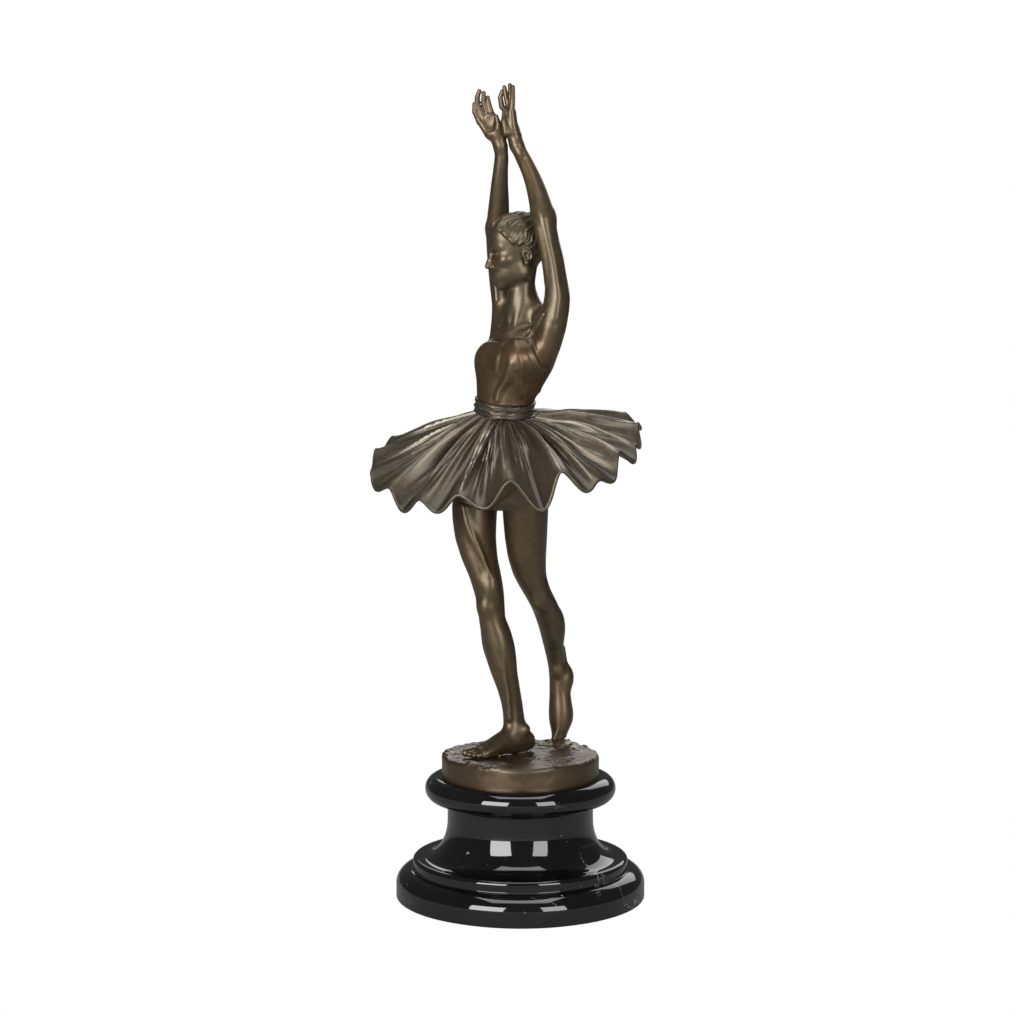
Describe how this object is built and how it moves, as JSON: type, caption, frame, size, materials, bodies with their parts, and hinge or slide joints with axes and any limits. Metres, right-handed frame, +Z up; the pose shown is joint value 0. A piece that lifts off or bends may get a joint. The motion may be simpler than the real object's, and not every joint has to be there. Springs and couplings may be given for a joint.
{
  "type": "bronze statuette",
  "caption": "Patinated bronze ballet dancer with raised arms and a fluted tutu, on a bronze plinth bolted to a turned black marble base.",
  "frame": {"origin": "centre of the felt's underside, on the axis of the round base", "axes": "+Z up along the axis of the base; the figure's front is between -X and -Y"},
  "size_m": [0.109, 0.1091, 0.3234],
  "materials": {
    "black_marble": "polished black marble with fine white flecks and veins",
    "felt": "dark green felt",
    "zinc_steel": "zinc plated",
    "plinth_bronze": "dark brown patina, rough rocky top",
    "skin_bronze": "dark brown patina, waxed and rubbed on the high spots",
    "dress_bronze": "dark brown patina, rubbed lighter along the folds",
    "raw_bronze": "turned bronze rod"
  },
  "bodies": {
    "root": {"marble_base": "black_marble", "felt_pad": "felt", "clamp_stud": "zinc_steel", "fender_washer": "zinc_steel", "lock_washer": "zinc_steel", "hex_nut": "zinc_steel", "bronze_plinth": "plinth_bronze", "right_leg": "skin_bronze", "left_leg": "skin_bronze", "hips": "dress_bronze", "tutu_skirt": "dress_bronze", "waist_sash": "dress_bronze", "bodice": "dress_bronze", "head": "skin_bronze", "right_arm": "skin_bronze", "left_arm": "skin_bronze", "foot_pins": "raw_bronze", "hip_dowels": "raw_bronze", "waist_dowel": "raw_bronze", "neck_dowel": "raw_bronze", "shoulder_dowels": "raw_bronze"}
  },
  "joints": []
}
